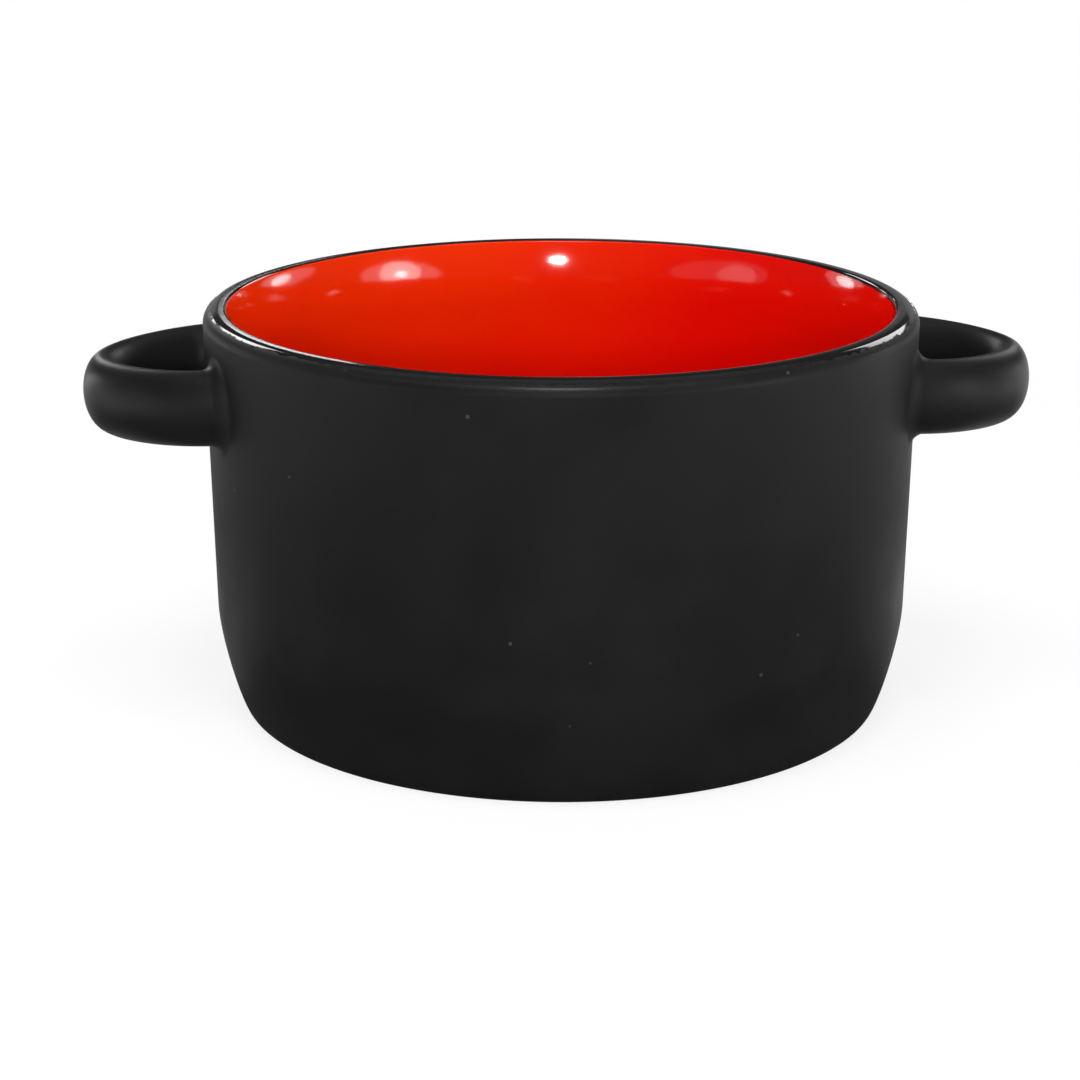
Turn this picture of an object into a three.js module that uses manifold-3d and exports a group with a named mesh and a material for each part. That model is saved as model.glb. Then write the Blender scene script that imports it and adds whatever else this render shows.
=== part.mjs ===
// A two-handled stoneware soup bowl, matte black outside, with a glossy black lip and a glossy red lining.
// Millimetres, +Z up. The origin is the centre of the foot ring's underside, and the handles lie along X.
import * as THREE from "three";
import { mergeVertices } from "three/addons/utils/BufferGeometryUtils.js";
import Module from "manifold-3d";

// The bowl, measured over its glaze
const rimDiameter = 120;
const height = 68.5;
const wallThickness = 5.6;
const floorThickness = 5;
const hollowCornerRadius = 12;

// The lip has a round outside, a flat land and a tighter round inside, which flares down into the wall
const lipRadius = 2.5;
const lipLand = 0.9;
const lipInnerRadius = 0.7;
const flareAngle = THREE.MathUtils.degToRad(15);

// The wall narrows from the rim down to the heel, the curve that tucks in to the foot
const wallTaper = 0.85;
const heelTuck = 4.3;
const heelHeight = 17.6;
const heelLowPull = 0.8;
const heelHighPull = 6;

// The foot ring is left dry, and the recess inside it is glazed
const footEdge = 0.3;
const footRingWidth = 6;
const footRecess = 1.6;
const footRecessSlope = 1;
const dryFootHeight = 0.2;

// The glaze coats meet on the lip, at angles from its outside (0) over its land (90) to its inside (180)
const glaze = 0.5;
const glazeFit = 0.05;
const coatJoint = 0.15;
const matteEdgeAngle = THREE.MathUtils.degToRad(48);
const liningEdgeAngle = THREE.MathUtils.degToRad(135);

// The handles are flat-sided loops with an oval section
const strapHeight = 12.5;
const strapThickness = 6.9;
const handleReach = 20.6;
const handleSpread = 37.4;
const handleDrop = 13.2;
const handleDroop = 1.1;
const loopInset = 3.1;
const loopPower = 1.8;
const webRadius = 7;

// The slip that lutes each handle end to the wall sets as a filleted collar
const slipHeight = 2.2;
const slipEdge = 0.35;
const seatClearance = 0.3;
const windowCutDepth = 4;

// Facets
const turnSegments = 48;
const heelSegments = 8;
const matteLipSegments = 4;
const rimSegments = 4;
const liningLipSegments = 3;
const flareSegments = 5;
const hollowCornerSegments = 7;
const sectionSegments = 20;
const loopSegments = 24;
const slipSegments = 3;

// Pull of a Bezier quarter circle, as a share of its radius, and halvings when a height is looked up
const quarterArcPull = 0.5523;
const searchSteps = 40;

const rimRadius = rimDiameter / 2;
const heelRadius = rimRadius - wallTaper;
const footRadius = heelRadius - heelTuck;
const shoulderZ = height - lipRadius;
const floorZ = footRecess + floorThickness;

const materials = {
  stoneware: finish("#cbb79c", 0.9),
  matteBlack: finish("#1f1f1f", 0.55),
  glossBlack: finish("#0d0d0e", 0.08),
  glossRed: finish("#d01800", 0.1),
};

function finish(color, roughness) {
  return new THREE.MeshStandardMaterial({ color, roughness, metalness: 0 });
}

// Profile of the turned pieces, as (radius, height)

// Radius of the glazed outside at a height on the straight wall
function wallRadius(z) {
  const climb = (z - heelHeight) / (shoulderZ - heelHeight);
  return THREE.MathUtils.lerp(heelRadius, rimRadius, climb);
}

function heelCurve() {
  const top = new THREE.Vector2(heelRadius, heelHeight);
  const wallDirection = new THREE.Vector2(rimRadius, shoulderZ).sub(top).normalize();
  return new THREE.CubicBezierCurve(
    new THREE.Vector2(footRadius, 0),
    new THREE.Vector2(footRadius + heelLowPull, 0),
    top.clone().addScaledVector(wallDirection, -heelHighPull),
    top,
  );
}

// Share of a rising curve at which it reaches a height
function shareAtHeight(curve, z) {
  let low = 0;
  let high = 1;
  for (let step = 0; step < searchSteps; step++) {
    const middle = (low + high) / 2;
    if (curve.getPoint(middle).y < z) low = middle;
    else high = middle;
  }
  return low;
}

function sampleCurve(curve, from, to, segments) {
  const points = [];
  for (let i = 0; i <= segments; i++) {
    points.push(curve.getPoint(THREE.MathUtils.lerp(from, to, i / segments)));
  }
  return points;
}

function lipArc(centreRadius, arcRadius, from, to, segments) {
  const points = [];
  for (let i = 0; i <= segments; i++) {
    const angle = THREE.MathUtils.lerp(from, to, i / segments);
    const radius = centreRadius + arcRadius * Math.cos(angle);
    points.push(new THREE.Vector2(radius, height - arcRadius * (1 - Math.sin(angle))));
  }
  return points;
}

// The lip's outside and its inside, each over a range of angles
function outerLip(from, to, segments) {
  return lipArc(rimRadius - lipRadius, lipRadius, from, to, segments);
}

function innerLip(from, to, segments) {
  return lipArc(rimRadius - lipRadius - lipLand, lipInnerRadius, from, to, segments);
}

// From the inside of the lip down into the wall, which it meets upright
function flareCurve(top) {
  const wallTop = rimRadius - wallThickness;
  const fall = (top.x - wallTop) / Math.tan(flareAngle);
  return new THREE.QuadraticBezierCurve(
    top,
    new THREE.Vector2(wallTop, top.y - fall),
    new THREE.Vector2(wallTop, top.y - 2 * fall),
  );
}

// Half of the gap between two coats, as angles on the lip
const outerHalfJoint = coatJoint / 2 / lipRadius;
const innerHalfJoint = coatJoint / 2 / lipInnerRadius;

// The matte coat runs from the dry foot up to the shoulder of the lip
function outerCoatLine() {
  const heel = heelCurve();
  const start = shareAtHeight(heel, dryFootHeight);
  return [
    ...sampleCurve(heel, start, 1, heelSegments),
    ...outerLip(0, matteEdgeAngle - outerHalfJoint, matteLipSegments),
  ];
}

// The glossy black band runs over the land of the lip to the edge of the lining
function rimCoatLine() {
  return [
    ...outerLip(matteEdgeAngle + outerHalfJoint, Math.PI / 2, rimSegments),
    ...innerLip(Math.PI / 2, liningEdgeAngle - innerHalfJoint, rimSegments),
  ];
}

// The red lining runs from inside the lip down to the middle of the floor
function liningLine() {
  const cornerTopZ = floorZ + hollowCornerRadius;
  const wallFoot = wallRadius(cornerTopZ) - wallThickness;
  const pull = hollowCornerRadius * quarterArcPull;
  const corner = new THREE.CubicBezierCurve(
    new THREE.Vector2(wallFoot, cornerTopZ),
    new THREE.Vector2(wallFoot, cornerTopZ - pull),
    new THREE.Vector2(wallFoot - hollowCornerRadius + pull, floorZ),
    new THREE.Vector2(wallFoot - hollowCornerRadius, floorZ),
  );
  const lip = innerLip(liningEdgeAngle + innerHalfJoint, Math.PI - flareAngle, liningLipSegments);
  const flare = flareCurve(lip[lip.length - 1]);
  return [
    ...lip,
    ...sampleCurve(flare, 0, 1, flareSegments).slice(1),
    ...sampleCurve(corner, 0, 1, hollowCornerSegments),
    new THREE.Vector2(0, floorZ),
  ];
}

const outerCoat = outerCoatLine();
const rimCoat = rimCoatLine();
const lining = liningLine();
const skin = [...outerCoat, ...rimCoat, ...lining];

// The point of the skin at an index, moved square to the skin into the clay
function underSkin(index, depth) {
  const here = skin[index];
  const before = skin[Math.max(index - 1, 0)];
  const after = skin[Math.min(index + 1, skin.length - 1)];
  const into = before === here ? after.clone().sub(here) : here.clone().sub(before);
  const onward = after === here ? into.clone() : after.clone().sub(here);
  const first = new THREE.Vector2(-into.y, into.x).normalize();
  const second = new THREE.Vector2(-onward.y, onward.x).normalize();
  const bisector = first.clone().add(second).normalize();
  const moved = here.clone().addScaledVector(bisector, depth / bisector.dot(first));
  return here.x === 0 ? new THREE.Vector2(0, moved.y) : moved;
}

function turned(profile) {
  return new THREE.LatheGeometry(profile, turnSegments).rotateX(Math.PI / 2);
}

// A coat of glaze under a stretch of the skin, which may end on the axis
function coatGeometry(line) {
  const start = skin.indexOf(line[0]);
  const under = line.map((_, i) => underSkin(start + i, glaze));
  const reachesAxis = line[line.length - 1].x === 0;
  if (reachesAxis) return turned([...under.reverse(), ...line]);
  return turned([...line, ...under.reverse(), line[0]]);
}

function bodyGeometry() {
  const footOuter = footRadius - footEdge;
  const footInner = footOuter - footRingWidth;
  const recessZ = footRecess + glaze + glazeFit;
  const recessRadius = footInner - footRecessSlope;
  const underside = [
    new THREE.Vector2(0, recessZ),
    new THREE.Vector2(recessRadius, recessZ),
    new THREE.Vector2(footInner, 0),
    new THREE.Vector2(footOuter, 0),
  ];
  const clay = skin.map((_, i) => underSkin(i, glaze + glazeFit));
  return turned([...underside, ...clay]);
}

function footGlazeGeometry() {
  const recessRadius = footRadius - footEdge - footRingWidth - footRecessSlope;
  const edge = recessRadius - coatJoint;
  return turned([
    new THREE.Vector2(0, footRecess),
    new THREE.Vector2(edge, footRecess),
    new THREE.Vector2(edge, footRecess + glaze),
    new THREE.Vector2(0, footRecess + glaze),
  ]);
}

// The handles, as (outward, across, up): outward along +X, across from the front root to the rear one

const handleZ = height - handleDrop;
const rootRadius = wallRadius(handleZ);
const loopStart = rootRadius - loopInset;
const loopReach = handleReach + loopInset - strapThickness / 2;
const halfSpread = handleSpread / 2;

// How far a fillet of a radius stands out at a distance from the wall it runs into
function filletOut(distance, radius) {
  const left = Math.max(radius - distance, 0);
  return radius - Math.sqrt(radius ** 2 - left ** 2);
}

// A place on the wall, lifted off the glazed surface
function wallOutward(across, z, lift) {
  return Math.sqrt((wallRadius(z) + lift) ** 2 - across ** 2);
}

// The loop's centre line and its normal in plan, at an angle from the tip
function loopStation(angle) {
  const along = Math.abs(Math.cos(angle));
  const aside = Math.abs(Math.sin(angle));
  const side = Math.sign(Math.sin(angle));
  const outward = loopStart + loopReach * along ** (2 / loopPower);
  const across = side * halfSpread * aside ** (2 / loopPower);
  const normal = new THREE.Vector2(
    along ** (2 - 2 / loopPower) / loopReach,
    (side * aside ** (2 - 2 / loopPower)) / halfSpread,
  ).normalize();
  const fromWall = Math.hypot(outward, across) - rootRadius;
  const z = handleZ - (handleDroop * Math.max(fromWall, 0)) / handleReach;
  return { outward, across, z, normal, fromWall };
}

// Oval section of the strap as (aside, up) points. The side towards the finger hole swells by swell.
function strapSection(swell, margin) {
  const points = [];
  for (let i = 0; i < sectionSegments; i++) {
    const angle = (2 * Math.PI * i) / sectionSegments;
    const towardsHole = Math.cos(angle) < 0 ? swell : 0;
    const halfThickness = strapThickness / 2 + margin + towardsHole;
    const halfHeight = strapHeight / 2 + margin;
    points.push(new THREE.Vector2(halfThickness * Math.cos(angle), halfHeight * Math.sin(angle)));
  }
  return points;
}

// A ring of points round the strap at a station, leaning with the wall close to it
function strapRing(station) {
  const swell = filletOut(Math.max(station.fromWall, slipHeight), webRadius);
  const lean = THREE.MathUtils.clamp(1 - station.fromWall / webRadius, 0, 1);
  const wallHere = wallOutward(station.across, station.z, 0);
  return strapSection(swell, 0).map((point) => {
    const across = station.across + station.normal.y * point.x;
    const z = station.z + point.y;
    const shift = lean * (wallOutward(across, z, 0) - wallHere);
    return new THREE.Vector3(station.outward + station.normal.x * point.x + shift, across, z);
  });
}

// A ring of points that follows the wall at a lift, round a root on one side (-1 or 1)
function rootRing(section, side, lift) {
  return section.map((point) => {
    const across = side * (halfSpread + point.x);
    const z = handleZ + point.y;
    return new THREE.Vector3(wallOutward(across, z, lift), across, z);
  });
}

// Lift of a handle's end and of its collar's foot, which stand on the clay in a window of the matte coat
const seatLift = seatClearance - glaze - glazeFit;
const rootSwell = filletOut(slipHeight, webRadius);

// A closed skin over rings of points. The ends are capped, or the last ring joins the first.
function ringsGeometry(rings, capCentres) {
  const count = rings[0].length;
  const points = [...rings.flat(), ...(capCentres ?? [])];
  const triangles = [];
  const pairs = capCentres ? rings.length - 1 : rings.length;
  for (let r = 0; r < pairs; r++) {
    const here = r * count;
    const next = ((r + 1) % rings.length) * count;
    for (let i = 0; i < count; i++) {
      const j = (i + 1) % count;
      triangles.push(here + i, next + j, here + j, here + i, next + i, next + j);
    }
  }
  if (capCentres) {
    const first = rings.length * count;
    const last = (rings.length - 1) * count;
    for (let i = 0; i < count; i++) {
      const j = (i + 1) % count;
      triangles.push(first, i, j, first + 1, last + j, last + i);
    }
  }
  return new THREE.BufferGeometry().setFromPoints(points).setIndex(triangles);
}

function handleGeometry() {
  const rings = [rootRing(strapSection(rootSwell, 0), -1, seatLift)];
  const caps = [new THREE.Vector3(wallOutward(-halfSpread, handleZ, seatLift), -halfSpread, handleZ)];
  for (let i = 1; i < loopSegments; i++) {
    rings.push(strapRing(loopStation(Math.PI * (i / loopSegments - 0.5))));
  }
  rings.push(rootRing(strapSection(rootSwell, 0), 1, seatLift));
  caps.push(new THREE.Vector3(wallOutward(halfSpread, handleZ, seatLift), halfSpread, handleZ));
  return ringsGeometry(rings, caps);
}

// Section of a slip collar's outside at a lift from the wall
function slipSection(lift, margin) {
  const flare = filletOut(lift, slipHeight);
  const holeFlare = filletOut(lift, webRadius) - flare;
  return strapSection(holeFlare, seatClearance + slipEdge + flare + margin);
}

function slipGeometry(side) {
  const bore = strapSection(rootSwell, seatClearance);
  const rings = [rootRing(bore, side, seatLift), rootRing(bore, side, slipHeight)];
  for (let i = 0; i <= slipSegments; i++) {
    const lift = THREE.MathUtils.lerp(slipHeight, slipEdge, i / slipSegments);
    rings.push(rootRing(slipSection(lift, 0), side, lift));
  }
  rings.push(rootRing(slipSection(slipEdge, 0), side, seatLift));
  return ringsGeometry(side < 0 ? rings.reverse() : rings);
}

// The plug that cuts a collar's window in the matte coat
function windowCutter(side) {
  const outline = slipSection(slipEdge, seatClearance);
  const rings = [rootRing(outline, side, -windowCutDepth), rootRing(outline, side, windowCutDepth)];
  const caps = [-windowCutDepth, windowCutDepth].map(
    (lift) => new THREE.Vector3(wallOutward(halfSpread, handleZ, lift), side * halfSpread, handleZ),
  );
  if (side > 0) return ringsGeometry(rings.reverse(), caps.reverse());
  return ringsGeometry(rings, caps);
}

// Booleans

const wasm = await Module();
wasm.setup();

function solidOf(geometry) {
  const bare = geometry.clone();
  bare.deleteAttribute("normal");
  bare.deleteAttribute("uv");
  const merged = mergeVertices(bare);
  const mesh = new wasm.Mesh({
    numProp: 3,
    vertProperties: merged.getAttribute("position").array,
    triVerts: new Uint32Array(merged.index.array),
  });
  return new wasm.Manifold(mesh);
}

function geometryOf(solid) {
  const mesh = solid.getMesh();
  return new THREE.BufferGeometry()
    .setAttribute("position", new THREE.BufferAttribute(mesh.vertProperties, 3))
    .setIndex(new THREE.BufferAttribute(mesh.triVerts, 1));
}

function outerGlazeGeometry() {
  let coat = solidOf(coatGeometry(outerCoat));
  for (const turn of [0, Math.PI]) {
    for (const side of [-1, 1]) {
      coat = coat.subtract(solidOf(windowCutter(side).rotateZ(turn)));
    }
  }
  return geometryOf(coat);
}

// The assembly

function piece(name, geometry, material) {
  const mesh = new THREE.Mesh(geometry, material);
  mesh.name = name;
  return mesh;
}

// One handle with its two slip joints, turned about the bowl's axis
function handleGroup(sideName, turn) {
  const group = new THREE.Group();
  const rootNames = turn === 0 ? ["front", "rear"] : ["rear", "front"];
  group.rotation.z = turn;
  group.add(piece(`${sideName}_handle`, handleGeometry(), materials.matteBlack));
  group.add(piece(`${sideName}_${rootNames[0]}_slip_joint`, slipGeometry(-1), materials.matteBlack));
  group.add(piece(`${sideName}_${rootNames[1]}_slip_joint`, slipGeometry(1), materials.matteBlack));
  return group;
}

const bowl = new THREE.Group();
bowl.add(piece("stoneware_body", bodyGeometry(), materials.stoneware));
bowl.add(piece("outer_glaze", outerGlazeGeometry(), materials.matteBlack));
bowl.add(piece("rim_glaze", coatGeometry(rimCoat), materials.glossBlack));
bowl.add(piece("lining_glaze", coatGeometry(lining), materials.glossRed));
bowl.add(piece("foot_glaze", footGlazeGeometry(), materials.matteBlack));
bowl.add(handleGroup("right", 0));
bowl.add(handleGroup("left", Math.PI));

export default bowl;
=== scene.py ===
"""A two-handled stoneware soup bowl: matte black outside, gloss black lip, glossy red lining.

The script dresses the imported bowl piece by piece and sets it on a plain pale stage.
"""

import math
from typing import NamedTuple

import bmesh
import bpy
from bpy.props import FloatProperty, FloatVectorProperty, PointerProperty
from mathutils import Matrix, Quaternion, Vector


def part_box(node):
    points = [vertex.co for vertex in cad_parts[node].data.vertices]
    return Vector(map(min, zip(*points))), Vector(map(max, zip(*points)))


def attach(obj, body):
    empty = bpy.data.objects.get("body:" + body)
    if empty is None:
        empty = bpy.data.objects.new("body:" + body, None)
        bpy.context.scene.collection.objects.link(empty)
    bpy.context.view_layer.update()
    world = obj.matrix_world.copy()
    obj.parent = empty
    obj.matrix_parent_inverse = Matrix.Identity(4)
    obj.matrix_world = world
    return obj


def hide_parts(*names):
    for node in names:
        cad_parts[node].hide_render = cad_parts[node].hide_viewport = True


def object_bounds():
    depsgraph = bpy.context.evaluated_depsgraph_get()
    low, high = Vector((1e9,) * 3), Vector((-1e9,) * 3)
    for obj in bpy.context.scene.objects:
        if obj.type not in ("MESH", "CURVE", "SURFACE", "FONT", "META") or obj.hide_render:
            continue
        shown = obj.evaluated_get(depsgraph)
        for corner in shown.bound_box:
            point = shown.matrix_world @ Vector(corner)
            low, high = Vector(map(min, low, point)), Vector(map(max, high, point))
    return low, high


bl_info = {
    "name": "Two-handled soup bowl",
    "version": (1, 0, 0),
    "blender": (4, 5, 0),
    "location": "View3D > Sidebar > Bowl",
    "description": "Builds a glazed stoneware soup bowl with two looped handles, and its stage",
    "category": "Add Mesh",
}

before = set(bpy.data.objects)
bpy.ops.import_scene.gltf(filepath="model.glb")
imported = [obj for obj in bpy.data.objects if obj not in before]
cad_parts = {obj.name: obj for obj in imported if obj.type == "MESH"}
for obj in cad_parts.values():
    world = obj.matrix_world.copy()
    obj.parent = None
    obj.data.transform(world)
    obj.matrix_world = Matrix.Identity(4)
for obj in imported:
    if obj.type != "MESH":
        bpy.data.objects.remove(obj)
CAD_LOW, CAD_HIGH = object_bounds()
COAT_LOW, COAT_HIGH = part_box("outer_glaze")
_, HANDLE_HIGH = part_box("right_handle")
BODY = "root"
MM = 0.001

# Steps round the bowl, along its profile, along a handle and round a handle's section
TURN_STEPS = 256
HEEL_STEPS = 28
WALL_STEPS = 18
LIP_STEPS = 14
FLARE_STEPS = 16
CORNER_STEPS = 18
LOOP_STEPS = 120
SECTION_STEPS = 56
COLLAR_STEPS = 16
MERGE_DISTANCE = 0.001 * MM
SHARP_ANGLE = math.radians(40)
QUARTER_ARC_PULL = 0.5523
SEARCH_STEPS = 40

# Scales of the patterns in the materials, in features per metre
CLOUD_SCALE = 55
TOOTH_SCALE = 1900
PINHOLE_SCALE = 330
GLOSS_EDGE_SCALE = 600
RED_EDGE_SCALE = 120
RIPPLE_SCALE = 140
PIT_SCALE = 1600
RUN_SCALE = 420
# The next scale sets the wobble in the painted shade on the lining
PAINTED_SHADE_SCALE = 60
GRAIN_SCALE = 1500
GROG_SCALE = 900
PAPER_SCALE = 40

# Where one finish passes into another, from its start to its end
GLOSS_FADE = (-0.03, 0.03)
RED_FADE = (-0.03 * MM, 0.03 * MM)
SLEEK_FROM = (0.3, 0.5)
SLEEK_TO = (0.62, 0.78)
SLEEK_SIDES = (0.55, 0.85)
HANDLE_FADE = (-3 * MM, -9 * MM)
# The next two set where painted shade falls on the lining: towards its front right, and far down
# inside the bowl
PAINTED_SHADE_FADE = (-0.65, 0.05)
LOW_SHADE_FADE = (0.06, 0.03)


def length(name, description, millimetres):
    return FloatProperty(
        name=name,
        description=description,
        default=millimetres * MM,
        subtype="DISTANCE",
        unit="LENGTH",
        precision=5,
    )


def angle(name, description, degrees):
    return FloatProperty(
        name=name,
        description=description,
        default=math.radians(degrees),
        subtype="ANGLE",
        unit="ROTATION",
    )


def colour(name, description, red, green, blue):
    return FloatVectorProperty(
        name=name,
        description=description,
        default=(red, green, blue, 1.0),
        size=4,
        min=0.0,
        max=1.0,
        subtype="COLOR",
    )


def factor(name, description, share):
    return FloatProperty(
        name=name,
        description=description,
        default=share,
        min=0.0,
        max=1.0,
        subtype="FACTOR",
    )


class BowlSizes(bpy.types.PropertyGroup):
    """Sizes of the turned bowl and its coats of glaze"""

    rim_diameter: length("Rim diameter", "Over the glaze", (COAT_HIGH.x - COAT_LOW.x) / MM)
    height: length("Height", "From the foot ring to the crest of the lip", CAD_HIGH.z / MM)
    wall_thickness: length("Wall thickness", "Below the lip, over both glazes", 5.6)
    floor_thickness: length("Floor thickness", "Over both glazes", 5)
    hollow_corner_radius: length("Hollow corner radius", "Between wall and floor, inside", 12)
    lip_radius: length("Lip radius", "Of the lip, outside its land", 2.5)
    lip_land: length("Lip land", "Width of the flat on top of the lip", 0.9)
    lip_inner_radius: length("Lip inner radius", "Of the lip, inside its land", 0.7)
    flare: angle("Flare", "Of the inside, where it leaves the lip", 15)
    heel_diameter: length("Heel diameter", "Where the straight wall starts", 118.3)
    heel_height: length("Heel height", "Where the straight wall starts", 17.6)
    heel_low_pull: length("Heel low pull", "How far the heel curve leaves the foot level", 0.8)
    heel_high_pull: length("Heel high pull", "How far the heel curve comes up along the wall", 6)
    foot_diameter: length("Foot diameter", "Over the edge of the foot", 109.7)
    foot_edge: length("Foot edge", "Rounding outside the foot ring", 0.3)
    foot_ring_width: length("Foot ring width", "Of the flat, dry ring", 6)
    foot_recess: length("Foot recess", "Depth of the recess inside the foot ring", 1.6)
    foot_recess_slope: length("Foot recess slope", "Width of the recess's sloping edge", 1)
    dry_foot_height: length("Dry foot height", "Where the outer coat starts", 0.2)
    glaze: length("Glaze", "Thickness of each coat", 0.5)
    glaze_fit: length("Glaze fit", "Gap between a coat and the clay", 0.05)
    matte_edge: angle("Matte edge", "Where the coat outside meets the coat of the lip", 48)
    lining_edge: angle("Lining edge", "Where the coat of the lip meets the lining", 135)
    gloss_edge: angle("Gloss edge", "Where the lip starts to gleam, at the front", 51)
    gloss_rise: angle("Gloss rise", "How much higher the gleam starts at the handles", 5)
    gloss_lean: angle("Gloss lean", "How much lower the gleam starts on the right", 4.3)
    gloss_raggedness: angle("Gloss raggedness", "Of the edge where the lip starts to gleam", 40)
    red_inset: length("Red inset", "From the lip's outer round to the red, at the front", 1.38)
    red_widening: length("Red widening", "How much further in the red starts at the handles", 0.16)
    red_lean: length("Red lean", "How much further in the red starts on the right", 0.12)
    red_raggedness: length("Red raggedness", "Of the edge of the red", 0.12)


class HandleSizes(bpy.types.PropertyGroup):
    """Sizes of the looped handles and the slip that joins them to the wall"""

    tip: length("Tip", "From the bowl's axis to the tip of a handle", HANDLE_HIGH.x / MM)
    centre_height: length("Centre height", "Of a root's middle, over the foot ring", 55.3)
    droop: length("Droop", "How much lower the tip lies than the roots", 1.1)
    strap_height: length("Strap height", "Of the strap's oval section", 12.5)
    strap_thickness: length("Strap thickness", "Of the strap's oval section", 6.9)
    spread: length("Spread", "Between the middles of the two roots", 37.4)
    loop_inset: length("Loop inset", "How far the loop's curve starts inside the wall", 3.1)
    loop_power: FloatProperty(
        name="Loop power",
        description="Exponent of the loop's plan: 2 is an ellipse, less has slimmer shoulders",
        default=1.8,
    )
    web_radius: length("Web radius", "Fillet of a root on the side of the finger hole", 7)
    slip_height: length("Slip height", "Fillet of the slip round a root", 2.2)
    slip_sink: length("Slip sink", "How deep the slip's upper edge lies in the strap", 0.04)
    seat_depth: length("Seat depth", "How deep a root and its slip reach into the coat", 0.25)


class Finishes(bpy.types.PropertyGroup):
    """Colours of the clay and the glazes"""

    clay: colour("Clay", "Fired clay of the dry foot ring", 0.60, 0.47, 0.33)
    matte_black: colour("Matte black", "Satin glaze outside", 0.0070, 0.0070, 0.0071)
    matte_grey: colour("Matte grey", "Paler clouds in the satin glaze", 0.0098, 0.0098, 0.0100)
    speck: colour("Speck", "Pinholes in the satin glaze", 0.055, 0.055, 0.055)
    gloss_black: colour("Gloss black", "Glaze of the lip", 0.0020, 0.0020, 0.0021)
    # The three reds of the lining carry painted light and shade: the first is its painted lit
    # side, the second its painted shaded side, the third painted shade far down inside the bowl
    red: colour("Red", "Lining, on the side of its orange cast", 0.86, 0.034, 0.001)
    shaded_red: colour("Deep red", "Lining, on the side of its deep cast", 0.81, 0.005, 0.001)
    low_shaded_red: colour("Low red", "Lining, far down the wall", 0.68, 0.002, 0.001)
    matte_roughness: factor("Matte roughness", "Of the satin glaze on the wall", 0.5)
    handle_roughness: factor("Handle roughness", "Of the satin glaze on the handles", 0.42)
    gloss_roughness: factor("Gloss roughness", "Of the lip and the lining", 0.06)


class StageSettings(bpy.types.PropertyGroup):
    """The camera and the level of the light"""

    camera_distance: length("Camera distance", "From the bowl's axis, in plan", 429.03)
    camera_height: length("Camera height", "Over the floor", 156.63)
    camera_azimuth: angle("Camera azimuth", "From the front towards the left", 4.36)
    camera_pitch: angle("Camera pitch", "How far the camera looks down", 16.915)
    camera_pan: angle("Camera pan", "How far the camera looks past the bowl's axis", -0.47)
    camera_lens: FloatProperty(
        name="Camera lens",
        description="Focal length in millimetres, on a sensor 36 mm wide",
        default=86.27,
    )
    floor_size: length("Floor size", "Side of the square floor", 12000)
    world_level: FloatProperty(
        name="World level",
        description="Strength of the light from all round",
        default=0.55,
    )


class Term:
    """A socket that takes part in sums, each of which adds a Math node"""

    def __init__(self, bench, socket):
        self.bench = bench
        self.socket = socket

    def also(self, output):
        """Another output of the same node"""
        return Term(self.bench, find_socket(self.socket.node.outputs, output))

    def sum(self, operation, *terms):
        sockets = dict(enumerate(terms))
        return self.bench.node("ShaderNodeMath", {"operation": operation}, sockets)

    def __add__(self, other):
        return self.sum("ADD", self, other)

    def __radd__(self, other):
        return self.sum("ADD", other, self)

    def __sub__(self, other):
        return self.sum("SUBTRACT", self, other)

    def __rsub__(self, other):
        return self.sum("SUBTRACT", other, self)

    def __mul__(self, other):
        return self.sum("MULTIPLY", self, other)

    def __rmul__(self, other):
        return self.sum("MULTIPLY", other, self)

    def __truediv__(self, other):
        return self.sum("DIVIDE", self, other)

    def __lt__(self, other):
        return self.sum("LESS_THAN", self, other)


def find_socket(sockets, key):
    """A socket by its number, its identifier or its name"""
    if isinstance(key, int):
        return sockets[key]
    for socket in sockets:
        if socket.identifier == key:
            return socket
    return sockets[key]


class Bench:
    """Adds nodes to one tree"""

    def __init__(self, tree):
        self.tree = tree

    def node(self, kind, settings=None, sockets=None, result=0):
        """A new node with its settings, then its sockets, as the Term of one of its outputs"""
        made = self.tree.nodes.new(kind)
        for name, value in (settings or {}).items():
            setattr(made, name, value)
        for key, value in (sockets or {}).items():
            self.plug(value, find_socket(made.inputs, key))
        return Term(self, find_socket(made.outputs, result)) if made.outputs else made

    def plug(self, value, socket):
        if isinstance(value, Term):
            self.tree.links.new(value.socket, socket)
        else:
            socket.default_value = value

    def mix(self, share, first, second):
        """A colour between two others"""
        sockets = {"Factor_Float": share, "A_Color": first, "B_Color": second}
        return self.node("ShaderNodeMix", {"data_type": "RGBA"}, sockets, "Result_Color")

    def ease(self, value, start, end):
        """A smooth step from 0 at start to 1 at end"""
        settings = {"interpolation_type": "SMOOTHSTEP"}
        sockets = {"Value": value, "From Min": start, "From Max": end}
        return self.node("ShaderNodeMapRange", settings, sockets)

    def noise(self, place, scale, detail=2.0):
        sockets = {"Vector": place, "Scale": scale, "Detail": detail}
        return self.node("ShaderNodeTexNoise", None, sockets, "Fac")


# Materials


def blank_material(name):
    """A new material with an empty tree, its bench and the piece's own coordinates"""
    material = bpy.data.materials.new(name)
    material.use_nodes = True
    material.node_tree.nodes.clear()
    bench = Bench(material.node_tree)
    place = bench.node("ShaderNodeTexCoord", result="Object")
    return material, bench, place


def grey(level):
    return (level, level, level, 1.0)


def show_surface(bench, shader):
    bench.node("ShaderNodeOutputMaterial", None, {"Surface": shader})


def bump(bench, height, distance, strength=1.0):
    sockets = {"Height": height, "Distance": distance, "Strength": strength}
    return bench.node("ShaderNodeBump", None, sockets)


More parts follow.
